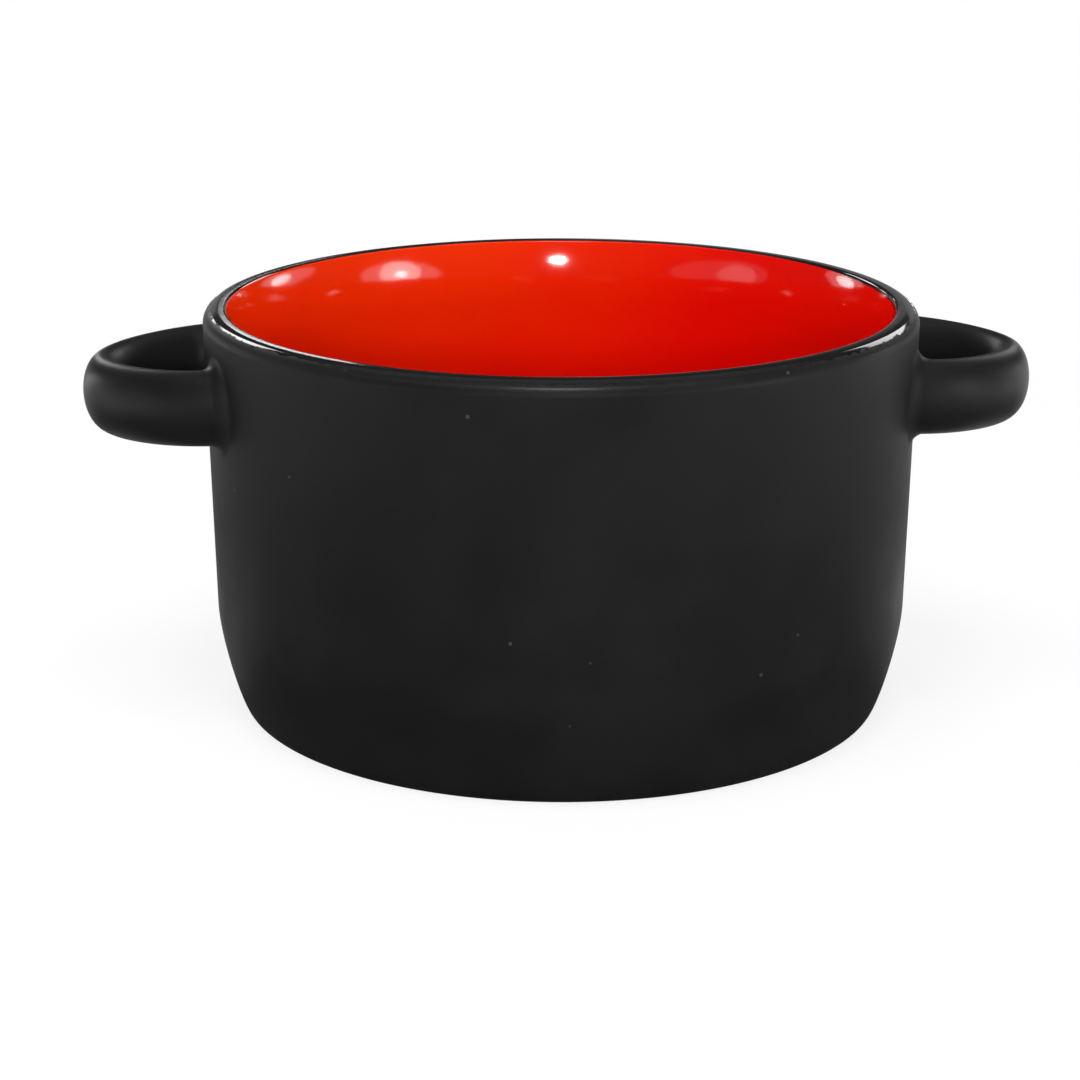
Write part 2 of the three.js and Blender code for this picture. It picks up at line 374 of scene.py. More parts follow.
def pinhole_mask(bench, place, cell_scale, share, radius):
    """Rare round dots: one in a small share of the cells of a grid"""
    sockets = {"Vector": place, "Scale": cell_scale}
    cell = bench.node("ShaderNodeTexVoronoi", {"feature": "F1"}, sockets, "Distance")
    pick = bench.node("ShaderNodeSeparateColor", None, {"Color": cell.also("Color")}, "Red")
    return (pick < share) * (1 - bench.ease(cell, radius * 0.5, radius))


class LipMap(NamedTuple):
    """A point's angle round the lip, its distance inside the lip's outer round, and its side"""

    turn: Term
    inset: Term
    aside: Term


def lip_map(bench, place):
    sizes = bpy.context.scene.bowl_sizes
    spot = bench.node("ShaderNodeSeparateXYZ", None, {"Vector": place}, "X")
    flat = bench.node("ShaderNodeCombineXYZ", None, {"X": spot, "Y": spot.also("Y")})
    radius = bench.node("ShaderNodeVectorMath", {"operation": "LENGTH"}, {0: flat}, "Value")
    inset = land_radius(sizes) - radius
    up = spot.also("Z") - shoulder_height(sizes)
    return LipMap(up.sum("ARCTAN2", up, 0 - inset), inset, spot / radius)


def gleam_mask(bench, place):
    """1 where the lip gleams, with a ragged edge on its shoulder"""
    sizes = bpy.context.scene.bowl_sizes
    lip = lip_map(bench, place)
    ragged = sizes.gloss_raggedness * (bench.noise(place, GLOSS_EDGE_SCALE, 5) - 0.5)
    rise = (sizes.gloss_rise * lip.aside - sizes.gloss_lean) * lip.aside
    return bench.ease(lip.turn - (sizes.gloss_edge + rise + ragged), *GLOSS_FADE)


def red_mask(bench, place):
    """1 where the lining is red, with an uneven edge inside the lip's crest"""
    sizes = bpy.context.scene.bowl_sizes
    lip = lip_map(bench, place)
    ragged = sizes.red_raggedness * (bench.noise(place, RED_EDGE_SCALE, 3) - 0.5)
    by_handle = lip.aside.sum("POWER", lip.aside * lip.aside, 2.0)
    wider = (sizes.red_widening + sizes.red_lean * lip.aside) * by_handle
    return bench.ease(lip.inset - (sizes.red_inset + wider + ragged), *RED_FADE)


def satin_shader(bench, place, finishes):
    """Satin black glaze, faintly clouded and toothed, sleeker on the lip and the handles"""
    cloud = bench.ease(bench.noise(place, CLOUD_SCALE, 4), 0.35, 0.65)
    tooth = bench.noise(place, TOOTH_SCALE, 3)
    pinholes = pinhole_mask(bench, place, PINHOLE_SCALE, 0.05, 0.13)
    clouded = bench.mix(cloud, finishes.matte_black[:], finishes.matte_grey[:])
    lip = lip_map(bench, place)
    on_shoulder = bench.ease(lip.turn, *SLEEK_FROM) * (1 - bench.ease(lip.turn, *SLEEK_TO))
    sleek = on_shoulder * (1 - bench.ease(lip.aside * lip.aside, *SLEEK_SIDES))
    smoothing = finishes.matte_roughness - finishes.handle_roughness
    smoother = smoothing * bench.ease(lip.inset, *HANDLE_FADE)
    sockets = {
        "Base Color": bench.mix(pinholes, clouded, finishes.speck[:]),
        "Roughness": finishes.matte_roughness - 0.04 + 0.08 * cloud - smoother,
        "Specular IOR Level": 0.24,
        "Coat Weight": 0.8 * sleek,
        "Coat Roughness": 0.24,
        "Normal": bump(bench, tooth - pinholes, 0.02 * MM, 0.6),
    }
    return bench.node("ShaderNodeBsdfPrincipled", None, sockets)


def gloss_shader(bench, place, finishes, base, unevenness):
    """Gloss glaze with a soft ripple and fine pits"""
    ripple = bench.noise(place, RIPPLE_SCALE, 2)
    pits = bench.noise(place, PIT_SCALE, 3)
    sockets = {
        "Base Color": base,
        "Roughness": finishes.gloss_roughness + 0.04 * ripple,
        "Specular IOR Level": 0.5,
        "Normal": bump(bench, ripple + 0.15 * pits, 0.06 * MM, unevenness),
    }
    return bench.node("ShaderNodeBsdfPrincipled", None, sockets)


def black_of_lip(bench, place, finishes):
    """Gloss black that has run thin and thick"""
    runs = bench.noise(place, RUN_SCALE, 3)
    return bench.mix(runs, finishes.gloss_black[:], finishes.matte_black[:])


def red_of_lining(bench, place, finishes):
    """Red with painted light and shade: orange where painted lit at the back left, deeper where
    painted shaded at the front right and further down inside the bowl
    """
    spot = bench.node("ShaderNodeSeparateXYZ", None, {"Vector": place}, "X")
    # The share of painted shade grows towards the front right and downwards
    towards_shade = spot * 8.0 - spot.also("Y") * 5.0 - spot.also("Z") * 4.0
    cast = bench.ease(towards_shade + 0.3 * bench.noise(place, PAINTED_SHADE_SCALE, 3), *PAINTED_SHADE_FADE)
    high = bench.mix(cast, finishes.red[:], finishes.shaded_red[:])
    # Far down inside the bowl the red darkens into painted shade
    return bench.mix(bench.ease(spot.also("Z"), *LOW_SHADE_FADE), high, finishes.low_shaded_red[:])


def black_and_red(bench, place, finishes):
    black = black_of_lip(bench, place, finishes)
    red = red_of_lining(bench, place, finishes)
    return bench.mix(red_mask(bench, place), black, red)


def gleaming_above(bench, place, satin, gloss):
    """Satin up to where the lip starts to gleam, and gloss from there"""
    sockets = {0: gleam_mask(bench, place), 1: satin, 2: gloss}
    return bench.node("ShaderNodeMixShader", None, sockets)


def satin_black(finishes):
    """The satin glaze of the handles, their collars and the foot"""
    material, bench, place = blank_material("satin_black")
    show_surface(bench, satin_shader(bench, place, finishes))
    return material


def satin_to_gloss(finishes):
    """The coat outside: satin, up to where the lip starts to gleam"""
    material, bench, place = blank_material("satin_to_gloss")
    satin = satin_shader(bench, place, finishes)
    black = black_of_lip(bench, place, finishes)
    gloss = gloss_shader(bench, place, finishes, black, 0.5)
    show_surface(bench, gleaming_above(bench, place, satin, gloss))
    return material


def gloss_of_lip(finishes):
    """The coat of the lip: gloss black with a satin edge outside and a red edge inside"""
    material, bench, place = blank_material("gloss_of_lip")
    satin = satin_shader(bench, place, finishes)
    base = black_and_red(bench, place, finishes)
    gloss = gloss_shader(bench, place, finishes, base, 0.12)
    show_surface(bench, gleaming_above(bench, place, satin, gloss))
    return material


def gloss_red(finishes):
    """The lining: glossy red, black up by the lip"""
    material, bench, place = blank_material("gloss_red")
    base = black_and_red(bench, place, finishes)
    show_surface(bench, gloss_shader(bench, place, finishes, base, 0.35))
    return material


def bare_clay(finishes):
    """Fired clay with a sandy grain and darker grog"""
    material, bench, place = blank_material("bare_clay")
    grain = bench.noise(place, GRAIN_SCALE, 4)
    grog = pinhole_mask(bench, place, GROG_SCALE, 0.12, 0.3)
    pale = [min(1.0, 1.15 * channel) for channel in finishes.clay]
    dark = [0.45 * channel for channel in finishes.clay]
    sandy = bench.mix(grain, finishes.clay[:], pale)
    sockets = {
        "Base Color": bench.mix(grog, sandy, dark),
        "Roughness": 0.8 + 0.15 * grain,
        "Normal": bump(bench, grain - grog, 0.06 * MM, 0.7),
    }
    show_surface(bench, bench.node("ShaderNodeBsdfPrincipled", None, sockets))
    return material


def finish(maker):
    """The material that a maker gives, made once"""
    name = maker.__name__
    return bpy.data.materials.get(name) or maker(bpy.context.scene.bowl_finishes)


# Profile of the turned bowl, as (radius, height)


def lerp(start, end, share):
    return start + (end - start) * share


def spread(start, end, steps):
    return [lerp(start, end, step / steps) for step in range(steps + 1)]


def bezier(points, share):
    """A point of the Bezier curve that a few points draw"""
    while len(points) > 1:
        points = [first.lerp(second, share) for first, second in zip(points, points[1:])]
    return points[0]


def land_radius(sizes):
    """Where the lip's outer round ends and its land starts"""
    return sizes.rim_diameter / 2 - sizes.lip_radius


def shoulder_height(sizes):
    return sizes.height - sizes.lip_radius


def wall_radius(sizes, z):
    """Radius of the glazed outside on the straight wall"""
    climb = (z - sizes.heel_height) / (shoulder_height(sizes) - sizes.heel_height)
    return lerp(sizes.heel_diameter, sizes.rim_diameter, climb) / 2


def heel_curve(sizes):
    top = Vector((sizes.heel_diameter / 2, sizes.heel_height))
    wall = Vector((sizes.rim_diameter / 2, shoulder_height(sizes))) - top
    foot = Vector((sizes.foot_diameter / 2, 0.0))
    low_pull = Vector((sizes.heel_low_pull, 0.0))
    return foot, foot + low_pull, top - wall.normalized() * sizes.heel_high_pull, top


def share_at_height(curve, z):
    """Where a rising curve reaches a height"""
    low, high = 0.0, 1.0
    for _ in range(SEARCH_STEPS):
        middle = (low + high) / 2
        if bezier(curve, middle).y < z:
            low = middle
        else:
            high = middle
    return low


def lip_arc(sizes, centre, arc, start, end):
    """Points round an arc of the lip, between two angles that count from its outside"""
    points = []
    for turn in spread(start, end, LIP_STEPS):
        drop = arc * (1 - math.sin(turn))
        points.append(Vector((centre + arc * math.cos(turn), sizes.height - drop)))
    return points


def outer_lip(sizes, start, end):
    return lip_arc(sizes, land_radius(sizes), sizes.lip_radius, start, end)


def inner_lip(sizes, start, end):
    return lip_arc(sizes, land_radius(sizes) - sizes.lip_land, sizes.lip_inner_radius, start, end)


def outer_line(sizes):
    """From the dry foot up the heel and the wall to the matte coat's edge on the lip"""
    heel = heel_curve(sizes)
    start = share_at_height(heel, sizes.dry_foot_height)
    line = [bezier(heel, share) for share in spread(start, 1, HEEL_STEPS)]
    for z in spread(sizes.heel_height, shoulder_height(sizes), WALL_STEPS)[1:-1]:
        line.append(Vector((wall_radius(sizes, z), z)))
    return line + outer_lip(sizes, 0, sizes.matte_edge)


def lip_line(sizes):
    """From the matte coat's edge over the land to the lining's edge"""
    outside = outer_lip(sizes, sizes.matte_edge, math.pi / 2)
    return outside + inner_lip(sizes, math.pi / 2, sizes.lining_edge)


def flare_curve(sizes, top):
    """From the inside of the lip down into the wall"""
    wall_top = sizes.rim_diameter / 2 - sizes.wall_thickness
    fall = (top.x - wall_top) / math.tan(sizes.flare)
    return top, Vector((wall_top, top.y - fall)), Vector((wall_top, top.y - 2 * fall))


def hollow_corner(sizes):
    """From the inner wall round to the floor"""
    floor_z = sizes.foot_recess + sizes.floor_thickness
    corner = sizes.hollow_corner_radius
    wall_foot = wall_radius(sizes, floor_z + corner) - sizes.wall_thickness
    pull = corner * QUARTER_ARC_PULL
    return (
        Vector((wall_foot, floor_z + corner)),
        Vector((wall_foot, floor_z + corner - pull)),
        Vector((wall_foot - corner + pull, floor_z)),
        Vector((wall_foot - corner, floor_z)),
    )


def lining_line(sizes):
    """From the lining's edge inside the lip down to the middle of the floor"""
    line = inner_lip(sizes, sizes.lining_edge, math.pi - sizes.flare)
    flare = flare_curve(sizes, line[-1])
    corner = hollow_corner(sizes)
    line += [bezier(flare, share) for share in spread(0, 1, FLARE_STEPS)[1:]]
    line += [bezier((flare[-1], corner[0]), share) for share in spread(0, 1, WALL_STEPS)[1:-1]]
    line += [bezier(corner, share) for share in spread(0, 1, CORNER_STEPS)]
    floor_middle = Vector((0.0, corner[-1].y))
    line += [bezier((corner[-1], floor_middle), share) for share in spread(0, 1, WALL_STEPS)[1:]]
    return line


def skin_line(sizes):
    """The whole glazed surface, from the dry foot to the middle of the floor inside"""
    return outer_line(sizes) + lip_line(sizes)[1:] + lining_line(sizes)[1:]


def foot_radii(sizes):
    """Of the dry ring's outer edge, its inner edge, and the recess inside its slope"""
    outer = sizes.foot_diameter / 2 - sizes.foot_edge
    inner = outer - sizes.foot_ring_width
    return outer, inner, inner - sizes.foot_recess_slope


def moved_inward(line, depth):
    """A line moved square to itself into the clay"""
    moved = []
    for index, place in enumerate(line):
        before = line[max(index - 1, 0)]
        after = line[min(index + 1, len(line) - 1)]
        along = (after - before).normalized()
        inward = place + Vector((-along.y, along.x)) * depth
        if place.x == 0.0:
            inward.x = 0.0
        moved.append(inward)
    return moved


def coat(line, depth):
    """The closed profile of a coat of glaze under a line, which may end on the axis"""
    return line + moved_inward(line, depth)[::-1] + line[:1]


# Turned pieces


def build_turning_tree():
    """Turns a profile about the Z axis: a grid whose columns are copies of the profile"""
    tree = bpy.data.node_groups.new("turned_piece", "GeometryNodeTree")
    inputs = {
        "Profile": "NodeSocketGeometry",
        "Profile Points": "NodeSocketInt",
        "Turn Steps": "NodeSocketInt",
        "Merge Distance": "NodeSocketFloat",
        "Material": "NodeSocketMaterial",
    }
    for name, kind in inputs.items():
        tree.interface.new_socket(name=name, in_out="INPUT", socket_type=kind)
    tree.interface.new_socket(name="Piece", in_out="OUTPUT", socket_type="NodeSocketGeometry")
    bench = Bench(tree)
    given = bench.node("NodeGroupInput", result="Profile")
    points = given.also("Profile Points")
    steps = given.also("Turn Steps")
    sockets = {"Vertices X": steps + 1, "Vertices Y": points}
    grid = bench.node("GeometryNodeMeshGrid", None, sockets)

    index = bench.node("GeometryNodeInputIndex")
    column = index.sum("FLOOR", (index + 0.5) / points)
    row = index - column * points
    turn = column / steps * math.tau

    here = bench.node("GeometryNodeInputPosition")
    sockets = {"Geometry": given, "Value": here, "Index": row}
    place = bench.node("GeometryNodeSampleIndex", {"data_type": "FLOAT_VECTOR"}, sockets)
    radius = bench.node("ShaderNodeSeparateXYZ", None, {"Vector": place}, "X")
    sockets = {
        "X": radius * turn.sum("COSINE", turn),
        "Y": radius * turn.sum("SINE", turn),
        "Z": radius.also("Z"),
    }
    sockets = {"Geometry": grid, "Position": bench.node("ShaderNodeCombineXYZ", None, sockets)}
    turned = bench.node("GeometryNodeSetPosition", None, sockets)
    sockets = {"Geometry": turned, "Distance": given.also("Merge Distance")}
    closed = bench.node("GeometryNodeMergeByDistance", None, sockets)
    real = bench.node("GeometryNodeRealizeInstances", None, {"Geometry": closed})
    sockets = {"Geometry": real, "Material": given.also("Material")}
    painted = bench.node("GeometryNodeSetMaterial", None, sockets)
    bench.node("NodeGroupOutput", None, {"Piece": painted})
    return tree


def turning_tree():
    return bpy.data.node_groups.get("turned_piece") or build_turning_tree()


def profile_mesh(name, profile):
    mesh = bpy.data.meshes.new(name)
    places = [(place.x, 0.0, place.y) for place in profile]
    edges = [(index, index + 1) for index in range(len(places) - 1)]
    mesh.from_pydata(places, edges, [])
    return mesh


def turned_piece(name, profile, material):
    """A plain mesh object, turned from a profile that is closed or that ends on the axis"""
    tree = turning_tree()
    values = {
        "Profile Points": len(profile),
        "Turn Steps": TURN_STEPS,
        "Merge Distance": MERGE_DISTANCE,
        "Material": material,
    }
    blank = bpy.data.objects.new(name + "_profile", profile_mesh(name + "_profile", profile))
    bpy.context.scene.collection.objects.link(blank)
    turning = blank.modifiers.new("turning", "NODES")
    for item in tree.interface.items_tree:
        if item.name in values:
            values[item.identifier] = values.pop(item.name)
    turning.node_group = tree
    for identifier, value in values.items():
        turning[identifier] = value
    graph = bpy.context.evaluated_depsgraph_get()
    mesh = bpy.data.meshes.new_from_object(blank.evaluated_get(graph))
    bpy.data.objects.remove(blank)
    return plain_object(name, mesh, material)


def plain_object(name, mesh, material):
    """An object at the origin, smooth but for its sharp edges, with its faces pointing out"""
    mesh.name = name
    shape = bmesh.new()
    shape.from_mesh(mesh)
    bmesh.ops.remove_doubles(shape, verts=shape.verts, dist=MERGE_DISTANCE)
    bmesh.ops.recalc_face_normals(shape, faces=shape.faces)
    shape.to_mesh(mesh)
    shape.free()
    mesh.shade_smooth()
    mesh.set_sharp_from_angle(angle=SHARP_ANGLE)
    mesh.materials.clear()
    mesh.materials.append(material)
    made = bpy.data.objects.new(name, mesh)
    bpy.context.scene.collection.objects.link(made)
    return made


def hand_over(piece, node):
    """The piece stands for a node of the frame"""
    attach(piece, BODY)
    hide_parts(node)


# Handles, as (outward, across, up) from the bowl's axis


def fillet_out(distance, radius):
    """How far a fillet stands out at a distance from the wall that it runs into"""
    left = max(radius - distance, 0.0)
    return radius - math.sqrt(radius**2 - left**2)


class HandleForm:
    """The rings of points that a handle and its collars of slip are made of"""

    def __init__(self, bowl, handle):
        self.bowl = bowl
        self.handle = handle
        self.root_radius = wall_radius(bowl, handle.centre_height)
        self.half_spread = handle.spread / 2
        self.loop_start = self.root_radius - handle.loop_inset
        self.loop_reach = handle.tip - handle.strap_thickness / 2 - self.loop_start
        self.root_swell = fillet_out(handle.slip_height, handle.web_radius)

    def on_wall(self, across, z, lift):
        return math.sqrt((wall_radius(self.bowl, z) + lift) ** 2 - across**2)

    def section(self, swell, margin):
        """The strap's oval as (aside, up), which swells towards the finger hole"""
        points = []
        for step in range(SECTION_STEPS):
            turn = math.tau * step / SECTION_STEPS
            towards_hole = swell if math.cos(turn) < 0 else 0.0
            half_thickness = self.handle.strap_thickness / 2 + margin + towards_hole
            half_height = self.handle.strap_height / 2 + margin
            points.append((half_thickness * math.cos(turn), half_height * math.sin(turn)))
        return points

    def root_ring(self, section, side, lift):
        """A ring round a root, which follows the wall at a lift"""
        ring = []
        for aside, up in section:
            across = side * (self.half_spread + aside)
            z = self.handle.centre_height + up
            ring.append(Vector((self.on_wall(across, z, lift), across, z)))
        return ring

    def strap_ring(self, turn):
        """A ring round the strap, at an angle of the loop from its tip"""
        power = self.handle.loop_power
        along = abs(math.cos(turn))
        aside = abs(math.sin(turn))
        side = math.copysign(1.0, math.sin(turn))
        outward = self.loop_start + self.loop_reach * along ** (2 / power)
        across = side * self.half_spread * aside ** (2 / power)
        way_out = along ** (2 - 2 / power) / self.loop_reach
        way_aside = side * aside ** (2 - 2 / power) / self.half_spread
        normal = Vector((way_out, way_aside)).normalized()
        from_wall = max(math.hypot(outward, across) - self.root_radius, 0.0)
        reach = self.handle.tip - self.root_radius
        centre_z = self.handle.centre_height - self.handle.droop * from_wall / reach
        swell = fillet_out(max(from_wall, self.handle.slip_height), self.handle.web_radius)
        lean = max(0.0, 1 - from_wall / self.handle.web_radius)
        wall_here = self.on_wall(across, centre_z, 0.0)
        ring = []
        for point_aside, up in self.section(swell, 0.0):
            y = across + normal.y * point_aside
            z = centre_z + up
            shift = lean * (self.on_wall(y, z, 0.0) - wall_here)
            ring.append(Vector((outward + normal.x * point_aside + shift, y, z)))
        return ring

    def strap_rings(self):
        seat = -self.handle.seat_depth
        rings = [self.root_ring(self.section(self.root_swell, 0.0), -1, seat)]
        for turn in spread(-math.pi / 2, math.pi / 2, LOOP_STEPS)[1:-1]:
            rings.append(self.strap_ring(turn))
        rings.append(self.root_ring(self.section(self.root_swell, 0.0), 1, seat))
        return rings

    def collar_rings(self, side):
        """A fillet of slip from the strap down to the wall, closed by a bore inside the strap"""
        height = self.handle.slip_height
        seat = self.handle.seat_depth
        sink = self.handle.slip_sink
        rings = []
        for turn in spread(0.0, math.pi / 2, COLLAR_STEPS):
            lift = height * (1 - math.sin(turn))
            flare = fillet_out(lift, height)
            web = fillet_out(lift, self.handle.web_radius) - flare
            rings.append(self.root_ring(self.section(web, flare - sink), side, lift))
        foot = self.section(fillet_out(0.0, self.handle.web_radius) - height, height - sink)
        rings.append(self.root_ring(foot, side, -seat))
        bore = self.section(self.root_swell, -seat)
        rings.append(self.root_ring(bore, side, -seat))
        rings.append(self.root_ring(bore, side, height))
        return rings


def ring_faces(count, first, second):
    """Faces between two rings of a number of points"""
    start, end = first * count, second * count
    faces = []
    for index in range(count):
        after = (index + 1) % count
        faces.append((start + index, start + after, end + after, end + index))
    return faces


def ring_mesh(name, rings, is_loop, turn):
    """A closed skin over rings, turned about the bowl's axis: its ends join or are capped"""
    count = len(rings[0])
    last = len(rings) - 1
    spin = Matrix.Rotation(turn, 3, "Z")
    points = [spin @ point for ring in rings for point in ring]
    faces = []
    for ring in range(last):
        faces += ring_faces(count, ring, ring + 1)
    if is_loop:
        faces += ring_faces(count, last, 0)
    else:
        faces.append(tuple(range(count)))
        faces.append(tuple(range(last * count, (last + 1) * count)))
    mesh = bpy.data.meshes.new(name)
    mesh.from_pydata(points, [], faces)
    return mesh


# The stage


class Lamp(NamedTuple):
    """A soft lamp aimed at the middle of the rim: its place as seen from there, face and glow"""

    name: str
    shape: str
    azimuth: float
    elevation: float
    distance: float
    width: float
    height: float
    glow: float
    tilt: float = 0.0
    is_mirrored: bool = True


# Azimuths count from the front towards the right, in degrees, and a glow of 1 is white.
# A tilt raises the end of a lamp that has the larger azimuth.
LAMPS = (
    Lamp("key", "RECTANGLE", -14, 72, 1.2, 0.70, 0.60, 10.6, is_mirrored=False),
    Lamp("shoulder", "ELLIPSE", -5, 51, 1.2, 0.40, 0.24, 4.5),
    Lamp("front_spot", "ELLIPSE", -3.3, 11.2, 4.0, 0.40, 0.24, 120.0),
    Lamp("front_right_shade", "ELLIPSE", 58, 5.6, 4.0, 2.40, 0.80, 1.7),
    Lamp("front_right_ring", "ELLIPSE", 58, 6.3, 4.0, 1.20, 0.72, 6.0),
    Lamp("front_right_bulb", "ELLIPSE", 57.5, 5.8, 4.0, 0.34, 0.20, 18.0),
    Lamp("front_left_shade", "ELLIPSE", -66, 6.5, 4.0, 3.00, 0.76, 0.45),
    Lamp("front_left_ring", "ELLIPSE", -73, 5.5, 4.0, 1.16, 0.66, 1.2),
    Lamp("right_side_shade", "ELLIPSE", 113.5, 4.5, 4.0, 2.50, 0.36, 1.3, tilt=-13.5),
    Lamp("right_side_bulb", "ELLIPSE", 116, 4.0, 4.0, 0.90, 0.16, 8.0, tilt=-13.5),
    Lamp("left_side_shade", "ELLIPSE", -128, 3.3, 4.0, 1.90, 0.42, 1.3, tilt=16),
    Lamp("left_side_bulb", "ELLIPSE", -127, 3.7, 4.0, 0.80, 0.20, 8.0, tilt=16),
    Lamp("back_right", "RECTANGLE", 145, 23.5, 4.0, 1.24, 1.06, 3.8),
    Lamp("back_left", "RECTANGLE", -155, 25.5, 4.0, 0.84, 1.05, 6.5),
    Lamp("back_glint", "ELLIPSE", -160, 11.5, 4.0, 0.50, 0.40, 4.0),
    Lamp("back_window", "RECTANGLE", -177.4, 12.85, 4.0, 0.24, 0.08, 4.5),
    Lamp("low_left_dot", "ELLIPSE", -99.8, -1.7, 0.361, 0.014, 0.014, 24.0),
    Lamp("low_right_dot", "ELLIPSE", 104.3, -7.2, 0.367, 0.014, 0.014, 24.0),
    Lamp("low_back_dot", "ELLIPSE", -132.3, -5.8, 0.373, 0.014, 0.014, 24.0),
    Lamp("low_back_right", "ELLIPSE", 148, -3.2, 0.382, 0.090, 0.012, 5.0),
    Lamp("low_back_left", "ELLIPSE", -160, -4.2, 0.384, 0.080, 0.012, 5.0),
)


def mirrored_floor(bench, place, away):
    """How pale the floor glows in reflections in the glaze, a painted reflection: dim round the
    bowl, which paints shade on the heel, and paler beside and behind it, which paints sheen on the
    bowl's sides and edges
    """
    spot = bench.node("ShaderNodeSeparateXYZ", None, {"Vector": place}, "X")
    aside = spot.sum("ABSOLUTE", spot)
    lean = 1 - 0.4 * bench.ease(spot, 0.0, -0.06)
    around = 0.12 + 0.28 * bench.ease(away, 0.1, 0.7)
    behind = lean * bench.ease(spot.also("Y"), 0.0, 0.2)
    beside = 1.5 * bench.ease(aside, 0.18, 0.34) * (1 - behind)
    close = bench.ease(spot.also("Y"), -0.03, 0.02) * bench.ease(aside, 0.05, 0.065)
    patch = 0.8 * lean * close * (1 - bench.ease(away, 0.11, 0.16))
    pale = around
    for other in (patch, beside, behind):
        pale = pale.sum("MAXIMUM", pale, other)
    return pale


def pale_floor():
    """A white floor that shows the bowl's soft shadow and fades into the white background"""
    material, bench, place = blank_material("pale_floor")
    white = bench.mix(bench.noise(place, PAPER_SCALE, 3), grey(0.90), grey(0.94))
    matte = bench.node("ShaderNodeBsdfDiffuse", None, {"Color": white})
    away = bench.node("ShaderNodeVectorMath", {"operation": "LENGTH"}, {0: place}, "Value")
    seen = bench.node("ShaderNodeLightPath", result="Is Camera Ray")
    shiny = seen.sum("MAXIMUM", seen.also("Is Glossy Ray"), seen.also("Is Transmission Ray"))
    pale = mirrored_floor(bench, place, away)
    # To the camera this glow is white. In reflections it is the painted reflection above, instead
    # of the floor's lit colour
    glow = bench.node("ShaderNodeEmission", None, {"Color": pale + (1 - pale) * seen})
    shadowless = seen * (0.84 + 0.16 * bench.ease(away, 0.12, 0.45))
    sockets = {0: seen.sum("MAXIMUM", shadowless, shiny), 1: matte, 2: glow}
    show_surface(bench, bench.node("ShaderNodeMixShader", None, sockets))
    return material


def white_world(level):
    """White to the camera, and otherwise a dim room with a pale ceiling and backdrop"""
    world = bpy.data.worlds.new("white_world")
    world.use_nodes = True
    world.node_tree.nodes.clear()
    bench = Bench(world.node_tree)
    way = bench.node("ShaderNodeTexCoord", result="Generated")
    spot = bench.node("ShaderNodeSeparateXYZ", None, {"Vector": way}, "X")
    aside = spot.sum("ABSOLUTE", spot)
    ceiling = 0.55 * bench.ease(spot.also("Z"), 0.55, 0.9)
    wings = bench.ease(aside, 0.06, 0.085) * (1 - bench.ease(aside, 0.42, 0.6))
    low = 1 - bench.ease(spot.also("Z"), 0.2, 0.213)
    backdrop = 0.5 * wings * low * bench.ease(spot.also("Y"), 0.0, 0.3)
    room = level * (0.1 + 0.9 * ceiling.sum("MAXIMUM", ceiling, backdrop))
    seen = bench.node("ShaderNodeLightPath", result="Is Camera Ray")
    light = bench.node("ShaderNodeBackground", None, {"Color": room + (1 - room) * seen})
    bench.node("ShaderNodeOutputWorld", None, {"Surface": light})
    bpy.context.scene.world = world


def add_floor(side):
    mesh = bpy.data.meshes.new("floor")
    half = side / 2
    corners = [(-half, -half, 0.0), (half, -half, 0.0), (half, half, 0.0), (-half, half, 0.0)]
    mesh.from_pydata(corners, [], [(0, 1, 2, 3)])
    mesh.materials.append(pale_floor())
    floor = bpy.data.objects.new("floor", mesh)
    bpy.context.scene.collection.objects.link(floor)


def add_lamp(lamp, target):
    light = bpy.data.lights.new(lamp.name, "AREA")
    light.shape = lamp.shape
    light.size = lamp.width
    light.size_y = lamp.height
    face = lamp.width * lamp.height
    if lamp.shape == "ELLIPSE":
        face *= math.pi / 4
    light.energy = lamp.glow * face * math.pi
    stand = bpy.data.objects.new(lamp.name, light)
    azimuth = math.radians(lamp.azimuth)
    elevation = math.radians(lamp.elevation)
    away = Vector(
        (
            math.sin(azimuth) * math.cos(elevation),
            -math.cos(azimuth) * math.cos(elevation),
            math.sin(elevation),
        )
    )
    stand.location = target + away * lamp.distance
    tilt = Quaternion((0.0, 0.0, 1.0), math.radians(lamp.tilt))
    stand.rotation_euler = ((-away).to_track_quat("-Z", "Y") @ tilt).to_euler()
    stand.visible_glossy = lamp.is_mirrored
    bpy.context.scene.collection.objects.link(stand)


def add_camera(stage):
    lens = bpy.data.cameras.new("camera")
    lens.lens = stage.camera_lens
    lens.sensor_width = 36.0
    camera = bpy.data.objects.new("camera", lens)
    heading = stage.camera_azimuth + stage.camera_pan
    camera.location = (
        -stage.camera_distance * math.sin(stage.camera_azimuth),
        -stage.camera_distance * math.cos(stage.camera_azimuth),
        stage.camera_height,
    )
    camera.rotation_euler = (math.pi / 2 - stage.camera_pitch, 0.0, -heading)
    bpy.context.scene.collection.objects.link(camera)
    bpy.context.scene.camera = camera


# Operators


class BOWL_OT_clay_body(bpy.types.Operator):
    """Turn the clay bowl with its dry foot ring"""

    bl_idname = "bowl.clay_body"
    bl_label = "Clay body"

    def execute(self, context):
        sizes = context.scene.bowl_sizes
        outer, inner, recess = foot_radii(sizes)
        recess_z = sizes.foot_recess + sizes.glaze + sizes.glaze_fit
        underside = [(0.0, recess_z), (recess, recess_z), (inner, 0.0), (outer, 0.0)]
        clay = moved_inward(skin_line(sizes), sizes.glaze + sizes.glaze_fit)
        profile = [Vector(place) for place in underside] + clay
        piece = turned_piece("clay_body", profile, finish(bare_clay))
        hand_over(piece, "stoneware_body")
        return {"FINISHED"}


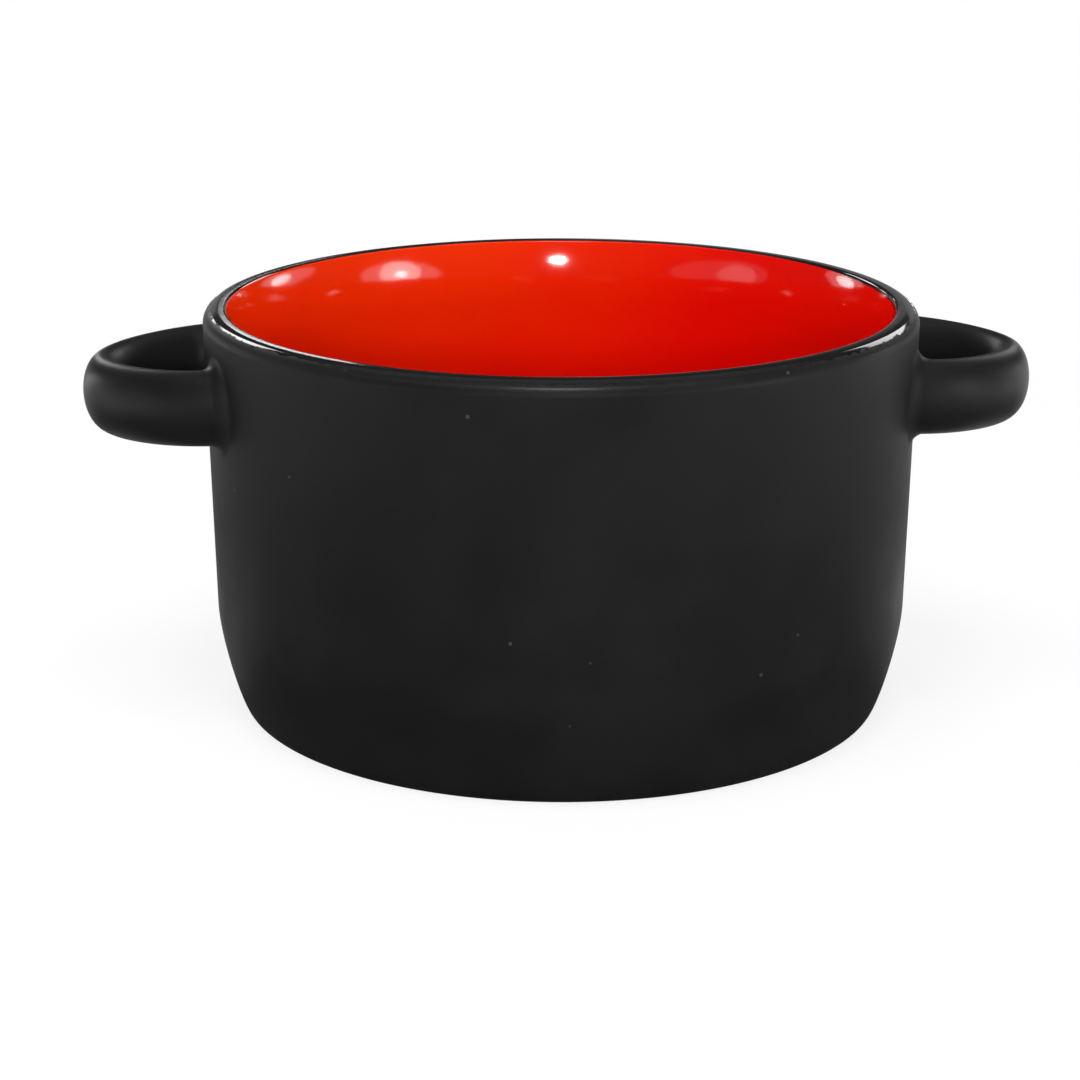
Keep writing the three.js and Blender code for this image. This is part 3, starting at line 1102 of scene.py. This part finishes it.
class BOWL_OT_coats(bpy.types.Operator):
    """Turn the coats of glaze: outside, lip, lining and foot"""

    bl_idname = "bowl.coats"
    bl_label = "Coats of glaze"

    def execute(self, context):
        sizes = context.scene.bowl_sizes
        coats = (
            ("matte_coat", outer_line, satin_to_gloss, "outer_glaze", "matte_black_glaze"),
            ("lip_band", lip_line, gloss_of_lip, "rim_glaze", "gloss_black_glaze"),
            ("red_lining", lining_line, gloss_red, "lining_glaze", "red_glaze"),
        )
        for name, line, maker, node, slot in coats:
            piece = turned_piece(name, coat(line(sizes), sizes.glaze), finish(maker))
            hand_over(piece, node)
        edge = foot_radii(sizes)[-1]
        low = sizes.foot_recess
        high = low + sizes.glaze
        foot = [Vector(place) for place in ((0.0, low), (edge, low), (edge, high), (0.0, high))]
        piece = turned_piece("foot_coat", foot, finish(satin_black))
        hand_over(piece, "foot_glaze")
        return {"FINISHED"}


class BOWL_OT_handles(bpy.types.Operator):
    """Make the two looped handles"""

    bl_idname = "bowl.handles"
    bl_label = "Handles"

    def execute(self, context):
        form = HandleForm(context.scene.bowl_sizes, context.scene.bowl_handles)
        for side, turn in (("right", 0.0), ("left", math.pi)):
            name = side + "_loop"
            mesh = ring_mesh(name, form.strap_rings(), False, turn)
            piece = plain_object(name, mesh, finish(satin_black))
            hand_over(piece, side + "_handle")
        return {"FINISHED"}


class BOWL_OT_slip_joints(bpy.types.Operator):
    """Make the four collars of slip that join the handles to the wall"""

    bl_idname = "bowl.slip_joints"
    bl_label = "Slip joints"

    def execute(self, context):
        form = HandleForm(context.scene.bowl_sizes, context.scene.bowl_handles)
        roots = (
            ("right_front", -1, 0.0),
            ("right_rear", 1, 0.0),
            ("left_rear", -1, math.pi),
            ("left_front", 1, math.pi),
        )
        for root, side, turn in roots:
            name = root + "_collar"
            mesh = ring_mesh(name, form.collar_rings(side), True, turn)
            piece = plain_object(name, mesh, finish(satin_black))
            hand_over(piece, root + "_slip_joint")
        return {"FINISHED"}


class BOWL_OT_stage(bpy.types.Operator):
    """Set up the floor, the lamps, the world and the camera"""

    bl_idname = "bowl.stage"
    bl_label = "Stage"

    def execute(self, context):
        stage = context.scene.bowl_stage
        context.scene.view_settings.view_transform = "Standard"
        add_floor(stage.floor_size)
        white_world(stage.world_level)
        rim_middle = Vector((0.0, 0.0, context.scene.bowl_sizes.height))
        for lamp in LAMPS:
            add_lamp(lamp, rim_middle)
        add_camera(stage)
        return {"FINISHED"}


class BOWL_PT_panel(bpy.types.Panel):
    """Lists the steps that make the bowl, and its settings"""

    bl_idname = "BOWL_PT_panel"
    bl_label = "Soup bowl"
    bl_space_type = "VIEW_3D"
    bl_region_type = "UI"
    bl_category = "Bowl"

    def draw(self, context):
        for operator in OPERATORS:
            self.layout.operator(operator.bl_idname)
        for name in SETTINGS:
            group = getattr(context.scene, name)
            for setting in group.bl_rna.properties:
                if setting.identifier not in ("name", "rna_type"):
                    self.layout.prop(group, setting.identifier)


OPERATORS = (
    BOWL_OT_clay_body,
    BOWL_OT_coats,
    BOWL_OT_handles,
    BOWL_OT_slip_joints,
    BOWL_OT_stage,
)
SETTINGS = {
    "bowl_sizes": BowlSizes,
    "bowl_handles": HandleSizes,
    "bowl_finishes": Finishes,
    "bowl_stage": StageSettings,
}


def register():
    for made in (*SETTINGS.values(), *OPERATORS, BOWL_PT_panel):
        bpy.utils.register_class(made)
    for name, group in SETTINGS.items():
        setattr(bpy.types.Scene, name, PointerProperty(type=group))


def unregister():
    for name in SETTINGS:
        delattr(bpy.types.Scene, name)
    for made in (BOWL_PT_panel, *reversed(OPERATORS), *SETTINGS.values()):
        bpy.utils.unregister_class(made)


def main():
    register()
    bpy.ops.bowl.clay_body()
    bpy.ops.bowl.coats()
    bpy.ops.bowl.handles()
    bpy.ops.bowl.slip_joints()
    bpy.ops.bowl.stage()


if __name__ == "__main__":
    main()
